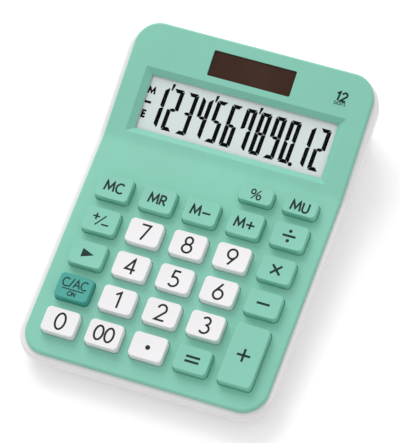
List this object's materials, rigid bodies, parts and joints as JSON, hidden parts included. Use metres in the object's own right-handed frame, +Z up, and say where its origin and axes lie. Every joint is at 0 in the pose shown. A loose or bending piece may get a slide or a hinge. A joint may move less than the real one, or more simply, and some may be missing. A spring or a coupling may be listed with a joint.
{
  "type": "desk calculator",
  "caption": "Slim wedge-shaped desk calculator with a bent cover, a tilted segment display, a solar strip and sprung number and function keys.",
  "frame": {"origin": "on the table under the middle of the case plan", "axes": "+X to the user's right, +Y away from the user towards the display, +Z up"},
  "size_m": [0.1064, 0.147, 0.0293],
  "materials": {
    "green_cover": "fine satin, mint green",
    "green_key": "fine satin, mint green",
    "white_key": "fine satin white",
    "teal_key": "fine satin dark teal",
    "white_case": "fine satin white",
    "silicone": "translucent grey silicone",
    "steel": "plated steel",
    "circuit_board": "brown laminate",
    "carbon": "printed carbon",
    "clear_window": "clear hard-coated acrylic",
    "display_glass": "clear glass",
    "polariser": "thin film",
    "reflector": "satin reflective film",
    "black_plastic": "moulded black",
    "ribbon": "flexible film with carbon tracks",
    "solar_window": "dark tinted clear plastic",
    "solar_cell": "amorphous silicon on glass",
    "contact_brass": "plated spring leaf",
    "red_wire": "insulated lead",
    "black_wire": "insulated lead",
    "resin": "potting resin",
    "aluminium_can": "capacitor can",
    "rubber": "soft black rubber",
    "label": "blank silver-grey label"
  },
  "bodies": {
    "case": {"top_cover": "green_cover", "bottom_case": "white_case", "board_screws": "steel", "case_screws": "steel", "holder_screws": "steel", "battery_cover_screw": "steel", "circuit_board": "circuit_board", "board_contacts": "carbon", "key_mat": "silicone", "display_window": "clear_window", "display_front_polariser": "polariser", "display_front_glass": "display_glass", "display_rear_glass": "display_glass", "display_reflector": "reflector", "display_holder": "black_plastic", "display_ribbon": "ribbon", "solar_window": "solar_window", "solar_cell": "solar_cell", "battery_cover": "white_case", "battery_cell": "steel", "battery_contact_side": "contact_brass", "battery_contact_top": "contact_brass", "battery_lead_red": "red_wire", "battery_lead_black": "black_wire", "solar_lead_red": "red_wire", "solar_lead_black": "black_wire", "chip_resin": "resin", "capacitor": "aluminium_can", "rubber_feet": "rubber", "rating_label": "label"},
    "key_0": {"key_0": "white_key"},
    "key_00": {"key_00": "white_key"},
    "key_point": {"key_point": "white_key"},
    "key_equals": {"key_equals": "green_key"},
    "key_clear_on": {"key_clear_on": "teal_key"},
    "key_1": {"key_1": "white_key"},
    "key_2": {"key_2": "white_key"},
    "key_3": {"key_3": "white_key"},
    "key_backspace": {"key_backspace": "green_key"},
    "key_4": {"key_4": "white_key"},
    "key_5": {"key_5": "white_key"},
    "key_6": {"key_6": "white_key"},
    "key_minus": {"key_minus": "green_key"},
    "key_sign": {"key_sign": "green_key"},
    "key_7": {"key_7": "white_key"},
    "key_8": {"key_8": "white_key"},
    "key_9": {"key_9": "white_key"},
    "key_multiply": {"key_multiply": "green_key"},
    "key_memory_clear": {"key_memory_clear": "green_key"},
    "key_memory_recall": {"key_memory_recall": "green_key"},
    "key_memory_minus": {"key_memory_minus": "green_key"},
    "key_memory_plus": {"key_memory_plus": "green_key"},
    "key_divide": {"key_divide": "green_key"},
    "key_percent": {"key_percent": "green_key"},
    "key_mark_up": {"key_mark_up": "green_key"},
    "key_plus": {"key_plus": "green_key"}
  },
  "joints": [
    {"name": "press_0", "type": "slide", "parent": "case", "child": "key_0", "axis": [0, 0.061, -0.9981], "range_m": [0, 0.0015], "stiffness_N_per_m": 500, "springref_m": -0.0003, "deforming": ["key_mat"]},
    {"name": "press_00", "type": "slide", "parent": "case", "child": "key_00", "axis": [0, 0.061, -0.9981], "range_m": [0, 0.0015], "stiffness_N_per_m": 500, "springref_m": -0.0003, "deforming": ["key_mat"]},
    {"name": "press_point", "type": "slide", "parent": "case", "child": "key_point", "axis": [0, 0.061, -0.9981], "range_m": [0, 0.0015], "stiffness_N_per_m": 500, "springref_m": -0.0003, "deforming": ["key_mat"]},
    {"name": "press_equals", "type": "slide", "parent": "case", "child": "key_equals", "axis": [0, 0.061, -0.9981], "range_m": [0, 0.0015], "stiffness_N_per_m": 500, "springref_m": -0.0003, "deforming": ["key_mat"]},
    {"name": "press_clear_on", "type": "slide", "parent": "case", "child": "key_clear_on", "axis": [0, 0.061, -0.9981], "range_m": [0, 0.0015], "stiffness_N_per_m": 500, "springref_m": -0.0003, "deforming": ["key_mat"]},
    {"name": "press_1", "type": "slide", "parent": "case", "child": "key_1", "axis": [0, 0.061, -0.9981], "range_m": [0, 0.0015], "stiffness_N_per_m": 500, "springref_m": -0.0003, "deforming": ["key_mat"]},
    {"name": "press_2", "type": "slide", "parent": "case", "child": "key_2", "axis": [0, 0.061, -0.9981], "range_m": [0, 0.0015], "stiffness_N_per_m": 500, "springref_m": -0.0003, "deforming": ["key_mat"]},
    {"name": "press_3", "type": "slide", "parent": "case", "child": "key_3", "axis": [0, 0.061, -0.9981], "range_m": [0, 0.0015], "stiffness_N_per_m": 500, "springref_m": -0.0003, "deforming": ["key_mat"]},
    {"name": "press_backspace", "type": "slide", "parent": "case", "child": "key_backspace", "axis": [0, 0.061, -0.9981], "range_m": [0, 0.0015], "stiffness_N_per_m": 500, "springref_m": -0.0003, "deforming": ["key_mat"]},
    {"name": "press_4", "type": "slide", "parent": "case", "child": "key_4", "axis": [0, 0.061, -0.9981], "range_m": [0, 0.0015], "stiffness_N_per_m": 500, "springref_m": -0.0003, "deforming": ["key_mat"]},
    {"name": "press_5", "type": "slide", "parent": "case", "child": "key_5", "axis": [0, 0.061, -0.9981], "range_m": [0, 0.0015], "stiffness_N_per_m": 500, "springref_m": -0.0003, "deforming": ["key_mat"]},
    {"name": "press_6", "type": "slide", "parent": "case", "child": "key_6", "axis": [0, 0.061, -0.9981], "range_m": [0, 0.0015], "stiffness_N_per_m": 500, "springref_m": -0.0003, "deforming": ["key_mat"]},
    {"name": "press_minus", "type": "slide", "parent": "case", "child": "key_minus", "axis": [0, 0.061, -0.9981], "range_m": [0, 0.0015], "stiffness_N_per_m": 500, "springref_m": -0.0003, "deforming": ["key_mat"]},
    {"name": "press_sign", "type": "slide", "parent": "case", "child": "key_sign", "axis": [0, 0.061, -0.9981], "range_m": [0, 0.0015], "stiffness_N_per_m": 500, "springref_m": -0.0003, "deforming": ["key_mat"]},
    {"name": "press_7", "type": "slide", "parent": "case", "child": "key_7", "axis": [0, 0.061, -0.9981], "range_m": [0, 0.0015], "stiffness_N_per_m": 500, "springref_m": -0.0003, "deforming": ["key_mat"]},
    {"name": "press_8", "type": "slide", "parent": "case", "child": "key_8", "axis": [0, 0.061, -0.9981], "range_m": [0, 0.0015], "stiffness_N_per_m": 500, "springref_m": -0.0003, "deforming": ["key_mat"]},
    {"name": "press_9", "type": "slide", "parent": "case", "child": "key_9", "axis": [0, 0.061, -0.9981], "range_m": [0, 0.0015], "stiffness_N_per_m": 500, "springref_m": -0.0003, "deforming": ["key_mat"]},
    {"name": "press_multiply", "type": "slide", "parent": "case", "child": "key_multiply", "axis": [0, 0.061, -0.9981], "range_m": [0, 0.0015], "stiffness_N_per_m": 500, "springref_m": -0.0003, "deforming": ["key_mat"]},
    {"name": "press_memory_clear", "type": "slide", "parent": "case", "child": "key_memory_clear", "axis": [0, 0.061, -0.9981], "range_m": [0, 0.0015], "stiffness_N_per_m": 500, "springref_m": -0.0003, "deforming": ["key_mat"]},
    {"name": "press_memory_recall", "type": "slide", "parent": "case", "child": "key_memory_recall", "axis": [0, 0.061, -0.9981], "range_m": [0, 0.0015], "stiffness_N_per_m": 500, "springref_m": -0.0003, "deforming": ["key_mat"]},
    {"name": "press_memory_minus", "type": "slide", "parent": "case", "child": "key_memory_minus", "axis": [0, 0.061, -0.9981], "range_m": [0, 0.0015], "stiffness_N_per_m": 500, "springref_m": -0.0003, "deforming": ["key_mat"]},
    {"name": "press_memory_plus", "type": "slide", "parent": "case", "child": "key_memory_plus", "axis": [0, 0.061, -0.9981], "range_m": [0, 0.0015], "stiffness_N_per_m": 500, "springref_m": -0.0003, "deforming": ["key_mat"]},
    {"name": "press_divide", "type": "slide", "parent": "case", "child": "key_divide", "axis": [0, 0.061, -0.9981], "range_m": [0, 0.0015], "stiffness_N_per_m": 500, "springref_m": -0.0003, "deforming": ["key_mat"]},
    {"name": "press_percent", "type": "slide", "parent": "case", "child": "key_percent", "axis": [0, 0.061, -0.9981], "range_m": [0, 0.0015], "stiffness_N_per_m": 500, "springref_m": -0.0003, "deforming": ["key_mat"]},
    {"name": "press_mark_up", "type": "slide", "parent": "case", "child": "key_mark_up", "axis": [0, 0.061, -0.9981], "range_m": [0, 0.0015], "stiffness_N_per_m": 500, "springref_m": -0.0003, "deforming": ["key_mat"]},
    {"name": "press_plus", "type": "slide", "parent": "case", "child": "key_plus", "axis": [0, 0.061, -0.9981], "range_m": [0, 0.0015], "stiffness_N_per_m": 650, "springref_m": -0.0003, "deforming": ["key_mat"]}
  ]
}
